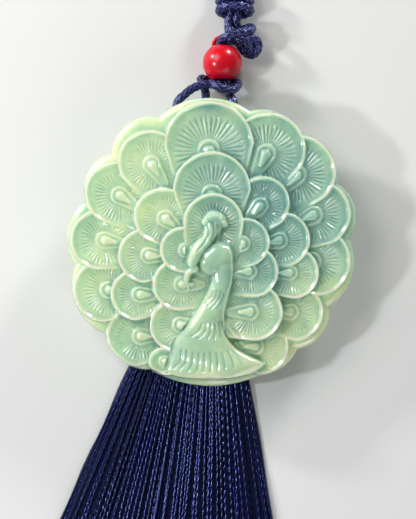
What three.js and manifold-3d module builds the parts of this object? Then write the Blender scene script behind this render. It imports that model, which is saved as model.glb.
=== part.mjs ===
// A carved jade bag charm, lying on a table: a scalloped jade plaque with a peacock in a fan of
// feathers, a red bead and a small red ring on a knotted navy cord, a tassel and a hanging loop.
// Millimetres. +X is right and +Y is up on the carved face as one looks down on it; +Z is up from
// the table. Everything is placed from the plaque's centre first, and the whole is moved at the end
// so that the origin is under the middle of the charm without its hanging loop.

import * as THREE from "three";
import { mergeVertices } from "three/addons/utils/BufferGeometryUtils.js";
import Module from "manifold-3d";

const wasm = await Module();
wasm.setup();

// Sizes of the jade plaque
const plaqueWidth = 52;
const bandHeight = 3.8;
const bandBevel = 1.1;
const backChamfer = 0.5;
const ringHeights = { outer: 4.5, middle: 5.3, inner: 6.0 };
const dishDepth = 0.6;
const rimWidth = 0.8;
const bodyHeight = 6.8;
const headHeight = 7.3;
const bodyEdgeDrop = 1.1;
const crestEdgeDrop = 0.5;
const headRise = 1.7;
const browWidth = 1.6;
const beakWidth = 1.1;
const leastEye = 0.6;
const rimSlope = 0.1;
const featherDepth = 1;
const clearing = 0.2;

// Sizes of the cord, bead and ring
const cordDiameter = 1.5;
const cordClearance = 0.3;
const beadDiameter = 7.2;
const ringWire = 0.72;
const ringRadius = 1.34;
const touchGap = 0.3;

// Sizes of the channel for the cord, in the plaque's back near its top edge
const channelSpan = 6.4;
const channelRise = 2.2;
const channelFromTop = 2.4;

// Sizes of the tassel
const tasselLength = 86;
const tasselHeadLength = 12;
const tasselHeadWidth = 11;
const tasselHeadHeight = 5.2;
const skirtAtPlaque = 2.8;
const skirtAtTips = 1.5;
const neckWidth = 7.2;
const neckHeight = 2.6;
const bindingWidth = 3.2;
const bindingThickness = 0.6;
const ribCount = 17;
const headFlat = 0.35;
const headFullness = 0.97;
const neckTaper = 3;

const plaqueRadius = plaqueWidth / 2;
const cordRadius = cordDiameter / 2;
const beadRadius = beadDiameter / 2;
const beadHoleRadius = cordDiameter + cordClearance;

// Places on the plaque are in hundredths of its radius, right of and above its centre.
const share = plaqueRadius / 100;

// The scalloped edge: bearing in degrees clockwise from the top, radius of the arc, reach of its tip
const edgeScallops = [
  [-3, 52, 99.5],
  [31, 34, 101],
  [51.5, 33, 102.5],
  [77, 27, 102],
  [103, 36, 100.5],
  [131.5, 26, 100],
  [153.5, 30.5, 100.5],
  [183, 82, 100.5],
  [217, 30, 104],
  [243.5, 37, 104.5],
  [272, 32, 101],
  [299.5, 24.5, 99],
  [324.5, 27, 100.5],
];

// The fan of feathers, each a round dish: right, above, radius. In each ring the last one lies on top.
const feathers = {
  outer: [
    [33, -73, 20],
    [57, -49, 20],
    [72, -14, 24],
    [73, 19, 23],
    [61, 48, 25],
    [39, 63, 26],
    [-74, -34, 22],
    [-77, 1, 21],
    [-66, 33, 22],
    [-43, 55, 22],
    [-2, 66, 31],
    [-52, -66, 21],
  ],
  middle: [
    [-52, -37, 18],
    [-46, -10, 19],
    [-34, 17, 20],
    [56, -22, 18],
    [49, 1, 19],
    [35, 26, 19],
    [0, 35, 27],
  ],
  inner: [
    [-34, -83, 10],
    [-24, -58, 19],
    [-23, -30, 18],
    [-20, -6, 16],
    [29, -49, 20],
    [28, -21, 18],
    [23, -1, 17],
    [1, 12, 21],
  ],
};

// The peacock, in hundredths of the plaque's radius. Its body and crest: height above the plaque's
// centre, left edge and right edge.
const bodyStations = [
  [-95, -8, 6],
  [-94, -22, 18],
  [-90, -32, 30],
  [-85, -32, 36],
  [-79, -30, 26],
  [-74, -28, 17],
  [-67, -25, 11],
  [-60, -20, 8],
  [-52, -14, 7],
  [-45, -9, 8],
  [-38, -5, 10],
  [-28, -1, 13],
  [-18, 0, 14],
  [-8, 0, 12],
];
const crestStations = [
  [-9, -9, 3],
  [-4, -9, 4],
  [2, -6, 5],
  [8, -5, 8],
  [13, -6, 10],
  [17, -4, 8],
  [19, 0, 4],
];
const headPlace = [3, -12];
const headSize = [12, 11];
const browRoute = [
  [-6, 4],
  [-10, -2],
  [-15, -9],
  [-15, -18],
];
const beakRoute = [
  [-14, -19],
  [-18, -23],
  [-19, -28],
  [-16.5, -33],
];

function solidOf(geometry) {
  const bare = geometry.clone();
  bare.deleteAttribute("normal");
  bare.deleteAttribute("uv");
  const merged = mergeVertices(bare, 1e-4);
  return new wasm.Manifold(
    new wasm.Mesh({
      numProp: 3,
      vertProperties: new Float32Array(merged.attributes.position.array),
      triVerts: new Uint32Array(merged.index.array),
    }),
  );
}

function geometryOf(solid) {
  const mesh = solid.getMesh();
  const positions = new Float32Array(mesh.numVert * 3);
  for (let i = 0; i < mesh.numVert; i++)
    positions.set(mesh.vertProperties.subarray(i * mesh.numProp, i * mesh.numProp + 3), i * 3);
  const geometry = new THREE.BufferGeometry();
  geometry.setAttribute("position", new THREE.BufferAttribute(positions, 3));
  geometry.setIndex(new THREE.BufferAttribute(new Uint32Array(mesh.triVerts), 1));
  geometry.computeVertexNormals();
  return geometry;
}

// A solid of revolution about +Z, from a profile of [radius, height] that starts and ends on the axis.
function turned(profile, segments) {
  const points = profile.map(([radius, height]) => new THREE.Vector2(radius, height));
  return new THREE.LatheGeometry(points, segments).rotateX(Math.PI / 2);
}

function smoothLine(points) {
  const vectors = points.map((p) => new THREE.Vector3(...p));
  return new THREE.CatmullRomCurve3(vectors, false, "centripetal");
}

// A tube with closed ends along a smooth line through the points.
function tube(points, radius, steps, sides) {
  const section = new THREE.Shape();
  for (let i = 0; i < sides; i++) {
    const angle = (2 * Math.PI * i) / sides;
    const x = radius * Math.cos(angle);
    const y = radius * Math.sin(angle);
    if (i === 0) section.moveTo(x, y);
    else section.lineTo(x, y);
  }
  section.closePath();
  return new THREE.ExtrudeGeometry(section, { steps, extrudePath: smoothLine(points), bevelEnabled: false });
}

// A length of cord with a step each so many diameters.
function cord(points, diametersPerStep, sides) {
  const steps = Math.max(2, Math.round(smoothLine(points).getLength() / (diametersPerStep * cordDiameter)));
  return tube(points, cordRadius, steps, sides);
}

// The disc of one scallop of the plaque's edge: flat behind with a small chamfer, bevelled in front.
function scallopDisc([bearing, radiusShare, tipShare]) {
  const radius = radiusShare * share;
  const reach = (tipShare - radiusShare) * share;
  const angle = THREE.MathUtils.degToRad(bearing);
  const profile = [
    [0, 0],
    [radius - backChamfer, 0],
    [radius, backChamfer],
    [radius, bandHeight - bandBevel],
    [radius - bandBevel, bandHeight],
    [0, bandHeight],
  ];
  const segments = 8 + Math.round(radiusShare / 5);
  return turned(profile, segments).translate(reach * Math.sin(angle), reach * Math.cos(angle), 0);
}

const featherSegments = 12;
const eyeSegments = 7;
const featherRoot = bandHeight - featherDepth;
const columnInset = 1.5 * rimSlope;
const birdTop = -12 * share;
const longestFeather = 2.4;
const featherNarrowing = 0.5;

// Draws the half of a round shape that faces +X out to a length and narrows it on the way.
function drawnOut(geometry, radius, length, narrowing) {
  const position = geometry.attributes.position;
  for (let i = 0; i < position.count; i++) {
    const along = Math.max(0, position.getX(i)) / radius;
    if (along > 0) position.setX(i, along * length);
    position.setY(i, position.getY(i) * (1 - narrowing * along));
  }
  return geometry;
}

// Lays the outline of a feather, a disc about its own middle, in its place with its narrow end at the bird.
function towardsBird(geometry, x, y, radius) {
  const birdY = Math.min(birdTop, y);
  const length = Math.min(longestFeather * radius, Math.max(radius, Math.hypot(x, birdY - y)));
  return drawnOut(geometry, radius, length, featherNarrowing)
    .rotateZ(Math.atan2(birdY - y, -x))
    .translate(x, y, 0);
}

// One feather's dish with its raised rim.
function featherDish(x, y, radius, height) {
  const floor = height - dishDepth;
  const profile = [
    [0, featherRoot],
    [radius, featherRoot],
    [radius - rimSlope, height],
    [radius - 1.6 * rimWidth, floor],
    [0, floor],
  ];
  return towardsBird(turned(profile, featherSegments), x, y, radius);
}

// The column that clears the ground for a feather laid over others.
function featherColumn(x, y, radius) {
  const floor = featherRoot + clearing;
  const profile = [
    [0, floor],
    [radius - columnInset, floor],
    [radius - columnInset, headHeight + clearing],
    [0, headHeight + clearing],
  ];
  return towardsBird(turned(profile, featherSegments), x, y, radius);
}

// A unit dome on a straight foot that reaches down by the given depth.
function dome(foot, segments, arcSteps) {
  const profile = [
    [0, -foot],
    [1, -foot],
  ];
  for (let i = 0; i <= arcSteps; i++) {
    const angle = (Math.PI / 2) * (i / arcSteps);
    profile.push([i === arcSteps ? 0 : Math.cos(angle), Math.sin(angle)]);
  }
  return turned(profile, segments);
}

// The raised eye of a feather: a dome drawn out to a point towards the bird.
function featherEye(x, y, radius, height) {
  const aim = Math.atan2(Math.min(birdTop, y) - y, -x);
  const eyeRadius = leastEye + 0.2 * radius;
  const eyeRise = 0.42 * eyeRadius;
  const floor = height - dishDepth;
  const eye = dome((floor - featherRoot) / eyeRise, eyeSegments, 2).scale(eyeRadius, eyeRadius, eyeRise);
  const offset = 0.15 * radius;
  return drawnOut(eye, eyeRadius, 1.9 * eyeRadius, 0.5)
    .rotateZ(aim)
    .translate(x + offset * Math.cos(aim), y + offset * Math.sin(aim), floor);
}

// A raised mound of the bird between two side edges, rounded across and closed below.
function mound(stations, height, edgeDrop) {
  const columns = 7;
  const rows = stations.length;
  const top = [];
  for (const [above, left, right] of stations)
    for (let j = 0; j < columns; j++) {
      const across = (2 * j) / (columns - 1) - 1;
      const x = (left + right) / 2 + ((right - left) / 2) * Math.sin((across * Math.PI) / 2);
      top.push([x * share, above * share, height - edgeDrop * Math.abs(across) ** 3]);
    }
  const faces = [];
  const quad = (a, b, c, d) => faces.push(a, b, c, a, c, d);
  const under = top.length;
  for (let i = 0; i + 1 < rows; i++)
    for (let j = 0; j + 1 < columns; j++) {
      const a = i * columns + j;
      quad(a, a + 1, a + columns + 1, a + columns);
      quad(a + under, a + columns + under, a + columns + 1 + under, a + 1 + under);
    }
  for (const rim of rimOf(rows, columns)) quad(rim[1], rim[0], rim[0] + under, rim[1] + under);
  const geometry = new THREE.BufferGeometry();
  const vertices = [...top, ...top.map(([x, y]) => [x, y, featherRoot])];
  geometry.setAttribute("position", new THREE.Float32BufferAttribute(vertices.flat(), 3));
  geometry.setIndex(faces);
  return geometry;
}

// The edge of a grid of rows and columns, as pairs of neighbours that go once round it.
function rimOf(rows, columns) {
  const rim = [];
  for (let j = 0; j + 1 < columns; j++) rim.push([j, j + 1]);
  for (let i = 0; i + 1 < rows; i++) rim.push([i * columns + columns - 1, (i + 2) * columns - 1]);
  for (let j = columns - 1; j > 0; j--) rim.push([(rows - 1) * columns + j, (rows - 1) * columns + j - 1]);
  for (let i = rows - 1; i > 0; i--) rim.push([i * columns, (i - 1) * columns]);
  return rim;
}

// A raised line of the bird's head, such as its brow and beak, sunk a little into the inner feathers.
function raisedLine(route, width) {
  const height = ringHeights.inner - dishDepth + width / 4;
  const points = route.map(([x, y]) => [x * share, y * share, height]);
  return tube(points, width / 2, 6, 8);
}

function carvedPlaque() {
  const ground = turned(
    [
      [0, 0],
      [plaqueRadius * 0.88, 0],
      [plaqueRadius * 0.88, bandHeight],
      [0, bandHeight],
    ],
    48,
  );
  let jade = solidOf(ground);
  for (const scallop of edgeScallops) jade = jade.add(solidOf(scallopDisc(scallop)));
  for (const ring of ["outer", "middle", "inner"])
    for (const [right, above, size] of feathers[ring]) {
      const place = [right * share, above * share, size * share];
      jade = jade
        .subtract(solidOf(featherColumn(...place)))
        .add(solidOf(featherDish(...place, ringHeights[ring])))
        .add(solidOf(featherEye(...place, ringHeights[ring])));
    }
  jade = jade.add(solidOf(mound(bodyStations, bodyHeight, bodyEdgeDrop)));
  jade = jade.add(solidOf(mound(crestStations, bodyHeight, crestEdgeDrop)));
  const head = dome((headHeight - headRise - featherRoot) / headRise, 14, 4)
    .scale(headSize[0] * share, headSize[1] * share, headRise)
    .translate(headPlace[0] * share, headPlace[1] * share, headHeight - headRise);
  jade = jade.add(solidOf(head));
  jade = jade.add(solidOf(raisedLine(browRoute, browWidth)));
  jade = jade.add(solidOf(raisedLine(beakRoute, beakWidth)));
  const bore = tube(channelLine(backChamfer), cordRadius + cordClearance, 10, 8);
  return jade.subtract(solidOf(bore));
}

// The middle line of the cord channel in the plaque's own frame: in at one mouth in the back, a low
// arch through the jade, out at the other. It runs on below the back by the given length.
function channelLine(runOut) {
  const y = plaqueRadius - channelFromTop;
  const points = [[-channelSpan / 2, y, -runOut]];
  for (let i = 0; i <= 8; i++) {
    const angle = (Math.PI * i) / 8;
    points.push([(-channelSpan / 2) * Math.cos(angle), y, channelRise * Math.sin(angle)]);
  }
  points.push([channelSpan / 2, y, -runOut]);
  return points;
}

// How the plaque lies: its back leans on the tassel's head and on the skirt under its lower edge.
const headY = plaqueRadius * 0.18;
const tilt = Math.atan((tasselHeadHeight - skirtAtPlaque) / (headY + plaqueRadius));
const backHeight = skirtAtPlaque + touchGap + plaqueRadius * Math.tan(tilt);

function fromPlaque(points) {
  const turn = new THREE.Matrix4().makeRotationX(tilt).setPosition(0, 0, backHeight);
  return points.map((p) => new THREE.Vector3(...p).applyMatrix4(turn).toArray());
}

// The tassel fans out from a point behind the plaque; its middle line leans a little to the left.
const fanPoint = [0.5, plaqueRadius * 0.46];
const fanLean = THREE.MathUtils.degToRad(-7.4);
const fanHalfAngle = THREE.MathUtils.degToRad(17.1);
const headStart = 2.2;
const neckAt = headStart + 0.93 * tasselHeadLength + bindingWidth / 2;
const skirtStart = (neckAt + bindingWidth / 2 + touchGap) / Math.cos(fanHalfAngle);
const skirtEnd = headStart + tasselLength;
const plaqueEdgeAt = fanPoint[1] + plaqueRadius;

// A point of the tassel from its distance to the fan point, its share across the fan and its height.
function tasselPoint(distance, across, height) {
  const spreadEnd = Math.max(0, (distance - 0.7 * skirtEnd) / (0.3 * skirtEnd));
  const angle = fanLean + across * fanHalfAngle * (1 - 0.13 * spreadEnd ** 2);
  return [
    fanPoint[0] + distance * Math.sin(angle),
    fanPoint[1] - distance * Math.cos(angle),
    height,
  ];
}

// Thickness of the skirt along its middle: under the plaque it follows the leaning back.
function skirtThickness(distance) {
  if (distance < plaqueEdgeAt) return skirtAtPlaque + (plaqueEdgeAt - distance) * Math.tan(tilt) * 0.9;
  const share = (distance - plaqueEdgeAt) / (skirtEnd - plaqueEdgeAt);
  return skirtAtPlaque + (skirtAtTips - skirtAtPlaque) * share;
}

// The skirt: a fan of threads, flat below and ribbed above, as one closed solid.
function skirt() {
  const stations = 5;
  const columns = ribCount * 2 + 1;
  const top = [];
  for (let i = 0; i < stations; i++) {
    const distance = skirtStart + ((skirtEnd - skirtStart) * i) / (stations - 1);
    for (let j = 0; j < columns; j++) {
      const across = (2 * j) / (columns - 1) - 1;
      const rib = j % 2 === 0 ? 0.78 : 1;
      const crown = 0.35 + 0.65 * (1 - Math.abs(across) ** 2.5);
      const ends = i === stations - 1 && j % 2 === 0 ? distance - 0.8 : distance;
      top.push(tasselPoint(ends, across, skirtThickness(distance) * crown * rib));
    }
  }
  const vertices = [...top, ...top.map(([x, y]) => [x, y, 0])];
  const under = top.length;
  const faces = [];
  const quad = (a, b, c, d) => faces.push(a, b, c, a, c, d);
  for (let i = 0; i + 1 < stations; i++)
    for (let j = 0; j + 1 < columns; j++) {
      const a = i * columns + j;
      const b = a + columns;
      quad(a, b, b + 1, a + 1);
    }
  const rim = [];
  for (let i = 0; i < stations; i++) rim.push(i * columns);
  for (let j = 1; j < columns; j++) rim.push((stations - 1) * columns + j);
  for (let i = stations - 2; i >= 0; i--) rim.push(i * columns + columns - 1);
  for (let j = columns - 2; j > 0; j--) rim.push(j);
  rim.forEach((a, k) => {
    const b = rim[(k + 1) % rim.length];
    quad(a, a + under, b + under, b);
  });
  const flat = rim.map((k) => new THREE.Vector2(top[k][0], top[k][1]));
  for (const [a, b, c] of THREE.ShapeUtils.triangulateShape(flat, []))
    faces.push(rim[c] + under, rim[b] + under, rim[a] + under);
  const geometry = new THREE.BufferGeometry();
  geometry.setAttribute("position", new THREE.Float32BufferAttribute(vertices.flat(), 3));
  geometry.setIndex(faces);
  return geometry;
}

const neckCentre = bindingThickness + touchGap + neckHeight / 2 + 0.1;

// A round body of the tassel about its leaning middle line, flattened, from [distance, half width,
// half height, middle height] stations.
function alongTassel(stations, sides) {
  const vertices = [];
  const faces = [];
  stations.forEach(([distance, halfWidth, halfHeight, middle]) => {
    for (let k = 0; k < sides; k++) {
      const angle = (2 * Math.PI * k) / sides;
      const [x, y] = tasselPoint(distance, 0, 0);
      const side = halfWidth * Math.cos(angle);
      vertices.push(x + side * Math.cos(fanLean), y + side * Math.sin(fanLean), middle + halfHeight * Math.sin(angle));
    }
  });
  for (let i = 0; i + 1 < stations.length; i++)
    for (let k = 0; k < sides; k++) {
      const a = i * sides + k;
      const b = i * sides + ((k + 1) % sides);
      faces.push(a, b + sides, a + sides, a, b, b + sides);
    }
  const last = (stations.length - 1) * sides;
  for (let k = 1; k + 1 < sides; k++) {
    faces.push(0, k + 1, k);
    faces.push(last, last + k, last + k + 1);
  }
  const geometry = new THREE.BufferGeometry();
  geometry.setAttribute("position", new THREE.Float32BufferAttribute(vertices, 3));
  geometry.setIndex(faces);
  return geometry;
}

// The tassel's head, neck and skirt: one bundle of threads.
function tassel() {
  const rise = (tasselHeadHeight + headFlat) / 2;
  const steps = 6;
  const stations = [];
  for (let i = 0; i <= steps; i++) {
    const t = headFullness * ((2 * i) / steps - 1);
    const full = Math.sqrt(1 - t * t);
    const distance = headStart + (tasselHeadLength * (t + 1)) / 2;
    stations.push([distance, (tasselHeadWidth / 2) * full, rise * full, rise - headFlat]);
  }
  const head = solidOf(alongTassel(stations, 16));
  const neck = solidOf(
    alongTassel(
      [
        [neckAt - bindingWidth, neckWidth / 2, neckHeight / 2, neckCentre],
        [skirtStart + 0.5, neckWidth / 2, neckHeight / 2, neckCentre],
        [skirtStart + neckTaper, neckWidth / 3, neckHeight / 4, neckHeight / 2],
      ],
      14,
    ),
  );
  const below = 3 * skirtEnd;
  const table = new THREE.BoxGeometry(below, below, below).translate(0, 0, -below / 2);
  return head.add(neck).add(solidOf(skirt())).subtract(solidOf(table));
}

// The thread wound round the tassel's neck.
function binding() {
  const outer = (grow) => [
    neckWidth / 2 + touchGap + grow,
    neckHeight / 2 + touchGap + grow,
    neckCentre,
  ];
  const from = neckAt - bindingWidth / 2;
  const to = neckAt + bindingWidth / 2;
  const wound = [];
  const turns = 3;
  for (let i = 0; i <= turns * 2; i++) {
    const bulge = i % 2 === 0 ? 0.72 : 1;
    wound.push([from + (bindingWidth * i) / (turns * 2), ...outer(bindingThickness * bulge)]);
  }
  const hole = [
    [from - 1, ...outer(0)],
    [to + 1, ...outer(0)],
  ];
  return solidOf(alongTassel(wound, 12)).subtract(solidOf(alongTassel(hole, 12)));
}

// A bead with a round hole along Y.
function bead() {
  const arcSteps = 9;
  const opening = Math.asin(beadHoleRadius / beadRadius);
  const profile = [];
  for (let i = 0; i <= arcSteps; i++) {
    const angle = opening + ((Math.PI - 2 * opening) * i) / arcSteps;
    profile.push(new THREE.Vector2(beadRadius * Math.sin(angle), -beadRadius * Math.cos(angle)));
  }
  profile.push(profile[0].clone());
  return new THREE.LatheGeometry(profile, 18);
}

// Places of the bead, ring and cord, chosen by eye, in millimetres from the middle of the plaque's top edge,
// down on the table.
const beadPlace = [1.91, 7.04];
const ringPlace = [1.65, 11.05];
const ringTilt = 0.17;
const lowerLeft = [
  [-3.2, -3.4, 6.1],
  [-5.0, -2.8, 5.6],
  [-6.4, -1.6, 5.7],
  [-6.1, -0.3, 5.9],
  [-5.0, 0.8, 5.8],
  [-3.6, 2, 5.4],
  [-1.7, 2.75, 5.1],
  [0.0, 2.9, 4.6],
  [1.2, 3.1, 3.9],
  [1.5, 4.4, 3.7],
  [1.25, 7, 3.7],
  [1.5, 9.8, 3.7],
  [1.65, 10.8, 4.1],
  [1.9, 11.25, 4.8],
  [2.6, 11.7, 5.3],
  [3.7, 12.15, 5.5],
  [5.15, 12.45, 5.3],
  [6.45, 12.7, 4.7],
  [7.3, 13.15, 3.8],
  [7.4, 13.8, 2.7],
  [6.7, 14, 1.7],
  [5.5, 13.6, 1.4],
  [4.7, 14.1, 2.0],
  [4.5, 15.3, 2.5],
  [4.9, 17.2, 2.5],
  [5.0, 22.4, 2.5],
];
const lowerRight = [
  [3.2, -3.4, 6.1],
  [4.0, -2.4, 5.2],
  [3.9, -0.4, 4.6],
  [3.2, 1.4, 3.9],
  [2.6, 3.4, 3.5],
  [2.65, 5, 3.5],
  [2.65, 7, 3.5],
  [2.65, 10.4, 3.45],
  [3.4, 11.4, 3.0],
  [5.0, 11, 2.3],
  [6.3, 9.3, 1.7],
  [7.4, 8.8, 2.1],
  [8.25, 9.3, 2.9],
  [8.6, 10.3, 3.6],
];
const upperRight = [
  [8.35, 9.5, 3.1],
  [8.6, 10.3, 3.6],
  [8.2, 11.2, 4.0],
  [7.2, 11.6, 4.2],
  [6.0, 11.3, 4.0],
  [4.7, 11.5, 3.4],
  [3.6, 12.1, 3.1],
  [3.1, 13.3, 2.9],
  [3.1, 15, 2.6],
  [3.5, 17.2, 2.5],
  [3.6, 22.4, 2.5],
];
const innerTurn = [
  [5.6, 12, 4.4],
  [6.6, 11.2, 4.4],
  [7.1, 10.2, 3.6],
  [6.8, 9.3, 2.6],
  [5.9, 9.6, 1.9],
  [5.3, 10.6, 1.7],
];
const ringStrand = [
  [1.68, 11.1, 0.12],
  [1.68, 11.1, 2.0],
  [1.7, 11.12, 3.6],
];
const tasselStrand = [
  [-0.1, 3.2, 4.2],
  [0.25, 2.8, 5.6],
  [0.9, 2.4, 6.2],
  [2.1, 1.9, 6.0],
  [3.4, 1.7, 5.2],
  [4.5, 2.5, 3.9],
  [4.7, 3.6, 2.3],
  [3.2, 3.6, 1.0],
  [1.0, 3.4, 0.9],
  [-1.1, 4.3, 1.5],
  [-2.0, 4.2, 2.9],
  [-1.6, 3.1, 3.1],
  [-1.2, 1.9, 2.9],
  [-1.1, 0.6, 2.7],
  [-0.9, -3, 2.5],
  [-0.3, -9, 2.5],
  [0.15, -15.6, 2.6],
];
const topKnotPlace = [4.25, 17.1, 2.5];
const topKnotSize = [3.55, 2.25];
const topKnotSlant = 0.42;
const topKnotTurns = 3;
const topKnotPitch = 1.75;

// The hanging loop lies on the table beyond the top knot: out from one side of it and back to the other.
const loopRoute = [
  [3.6, 22.8, 2.5],
  [3.5, 25, 2.1],
  [3.0, 28, 1.2],
  [2.3, 32, 0.8],
  [1.7, 37, 0.8],
  [1.8, 43, 0.8],
  [2.6, 49, 0.8],
  [4.0, 55, 0.8],
  [5.9, 61, 0.8],
  [8.3, 66.5, 0.8],
  [11.3, 70.3, 0.8],
  [15.0, 71.6, 0.8],
  [18.3, 69.8, 0.8],
  [19.6, 65.8, 0.8],
  [19.2, 60, 0.8],
  [17.4, 53.5, 0.8],
  [14.8, 47, 0.8],
  [12.0, 40.5, 0.8],
  [9.4, 34.5, 0.8],
  [7.1, 29.2, 1.1],
  [5.6, 25.3, 2.0],
  [5.0, 22.8, 2.5],
];

// Moves a route from the plaque's top edge to the plaque's centre.
function fromTopEdge(route) {
  return route.map(([x, y, z]) => [x, y + plaqueRadius, z]);
}

// One turn of the cord round itself in the top knot, drawn tight and tilted.
function knotTurn(turn) {
  const [[x, y, z]] = fromTopEdge([topKnotPlace]);
  const tube = 0.5;
  return new THREE.TorusGeometry(1, tube, 6, 10)
    .scale(topKnotSize[0] / (1 + tube), topKnotSize[1] / (1 + tube), (0.56 * cordDiameter) / tube)
    .rotateX(Math.PI / 2 - topKnotSlant)
    .translate(x, y + turn * topKnotPitch, z);
}

// The knotted cord: one length that passes through the plaque, the bead and its knots. Where it
// crosses itself in a knot its turns are drawn into each other.
const knotStep = 1.65;
const knotSides = 6;
function knottedCord() {
  const channel = fromPlaque(channelLine(1));
  const left = fromTopEdge(lowerLeft.slice(1)).reverse();
  const right = fromTopEdge(lowerRight.slice(1));
  let whole = solidOf(cord([...left, ...channel, ...right.slice(0, 2)], knotStep, knotSides));
  whole = whole.add(solidOf(cord(right, knotStep, knotSides)));
  for (const route of [upperRight, innerTurn, ringStrand, tasselStrand])
    whole = whole.add(solidOf(cord(fromTopEdge(route), knotStep, knotSides)));
  for (let turn = 0; turn < topKnotTurns; turn++) whole = whole.add(solidOf(knotTurn(turn)));
  return whole;
}

// The pieces of the charm
function material(color, roughness) {
  return new THREE.MeshStandardMaterial({ color, roughness, metalness: 0 });
}
const jadeGreen = material(0xa9cfae, 0.15);
const redGlass = material(0xc80a24, 0.1);
const navyCord = material(0x1b2150, 0.7);
const navyThread = material(0x161c44, 0.6);

const charm = new THREE.Group();

function addPiece(name, geometry, finish, group = charm) {
  const mesh = new THREE.Mesh(geometry, finish);
  mesh.name = name;
  group.add(mesh);
  return mesh;
}

const plaqueGroup = new THREE.Group();
plaqueGroup.position.z = backHeight;
plaqueGroup.rotation.x = tilt;
charm.add(plaqueGroup);
addPiece("jade_plaque", geometryOf(carvedPlaque()), jadeGreen, plaqueGroup);

const redBead = addPiece("red_bead", bead(), redGlass);
redBead.position.set(beadPlace[0], beadPlace[1] + plaqueRadius, beadRadius);

const redRing = addPiece("red_ring", new THREE.TorusGeometry(ringRadius, ringWire / 2, 6, 14), redGlass);
const ringRise = ringWire / 2 + ringRadius * Math.sin(ringTilt);
redRing.position.set(ringPlace[0], ringPlace[1] + plaqueRadius, ringRise);
redRing.rotation.x = ringTilt;

addPiece("knotted_cord", geometryOf(knottedCord()), navyCord);
addPiece("tassel", geometryOf(tassel()), navyThread);
addPiece("tassel_binding", geometryOf(binding()), navyThread);

// The origin: on the table, under the middle of everything but the hanging loop
charm.updateMatrixWorld(true);
const middle = new THREE.Box3().setFromObject(charm, true).getCenter(new THREE.Vector3());
charm.position.set(-middle.x, -middle.y, 0);

const loopStep = 2.5;
const loopSides = 8;
addPiece("hanging_loop", cord(fromTopEdge(loopRoute), loopStep, loopSides), navyCord);

export default charm;
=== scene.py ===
"""Looks for the jade bag charm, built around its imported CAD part.

Lengths are in millimetres until a mesh is made. Like the part's source, places count from the
plaque's centre on the table, +X right, +Y towards the hanging loop and +Z up.
"""

import math

import bpy
import numpy as np
from mathutils import Matrix, Vector


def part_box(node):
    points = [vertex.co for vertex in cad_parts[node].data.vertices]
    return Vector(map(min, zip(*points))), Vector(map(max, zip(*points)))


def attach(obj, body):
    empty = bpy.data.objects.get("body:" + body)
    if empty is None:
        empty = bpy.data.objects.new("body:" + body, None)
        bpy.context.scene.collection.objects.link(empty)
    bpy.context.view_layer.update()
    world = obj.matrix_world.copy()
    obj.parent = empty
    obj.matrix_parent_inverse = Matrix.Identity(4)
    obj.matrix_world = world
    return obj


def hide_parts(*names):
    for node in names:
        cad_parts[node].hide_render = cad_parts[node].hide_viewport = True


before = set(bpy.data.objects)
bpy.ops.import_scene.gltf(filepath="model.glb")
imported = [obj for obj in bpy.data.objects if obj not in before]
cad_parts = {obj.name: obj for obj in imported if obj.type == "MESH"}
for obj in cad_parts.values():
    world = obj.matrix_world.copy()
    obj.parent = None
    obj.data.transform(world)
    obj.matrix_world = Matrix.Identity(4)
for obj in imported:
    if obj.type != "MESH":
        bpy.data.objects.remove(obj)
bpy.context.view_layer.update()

MM = 0.001

# Sizes shared with the CAD part
PLAQUE_RADIUS = 26.0
SHARE = PLAQUE_RADIUS / 100
BEAD_PLACE = (1.91, PLAQUE_RADIUS + 7.04)
RING_PLACE = (1.65, PLAQUE_RADIUS + 11.05)
BAND_HEIGHT = 3.8
BAND_BEVEL = 1.1
RING_HEIGHTS = {"outer": 4.5, "middle": 5.3, "inner": 6.0}
DISH_DEPTH = 0.6
BODY_HEIGHT = 6.8
CORD_DIAMETER = 1.5
CORD_CLEARANCE = 0.3
BEAD_RADIUS = 3.6
RING_RADIUS = 1.34
RING_WIRE = 0.72
RING_TILT = 0.17
TASSEL_HEAD_LENGTH = 12.0
TASSEL_HEAD_WIDTH = 11.0
TASSEL_HEAD_HEIGHT = 5.2
TASSEL_LENGTH = 86.0
SKIRT_AT_PLAQUE = 2.8
SKIRT_AT_TIPS = 1.5
TOUCH_GAP = 0.3
NECK_WIDTH = 7.2
NECK_HEIGHT = 2.6
BINDING_WIDTH = 3.2
BINDING_THICKNESS = 0.6

TILT = math.atan((TASSEL_HEAD_HEIGHT - SKIRT_AT_PLAQUE) / (0.18 * PLAQUE_RADIUS + PLAQUE_RADIUS))
BACK_HEIGHT = SKIRT_AT_PLAQUE + TOUCH_GAP + PLAQUE_RADIUS * math.tan(TILT)

# The row frame's origin lies elsewhere, so the bead says by how much everything moves.
bead_low, bead_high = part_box("red_bead")
bead_middle = (bead_low + bead_high) / 2
SHIFT = np.array([bead_middle.x / MM - BEAD_PLACE[0], bead_middle.y / MM - BEAD_PLACE[1], 0.0])

# The scalloped edge: bearing in degrees clockwise from the top, radius of the arc, reach of its tip,
# in hundredths of the plaque's radius.
EDGE_SCALLOPS = [
    (-3, 52, 99.5), (31, 34, 101), (51.5, 33, 102.5), (77, 27, 102), (103, 36, 100.5),
    (131.5, 26, 100), (153.5, 30.5, 100.5), (183, 82, 100.5), (217, 30, 104),
    (243.5, 37, 104.5), (272, 32, 101), (299.5, 24.5, 99), (324.5, 27, 100.5),
]

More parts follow.
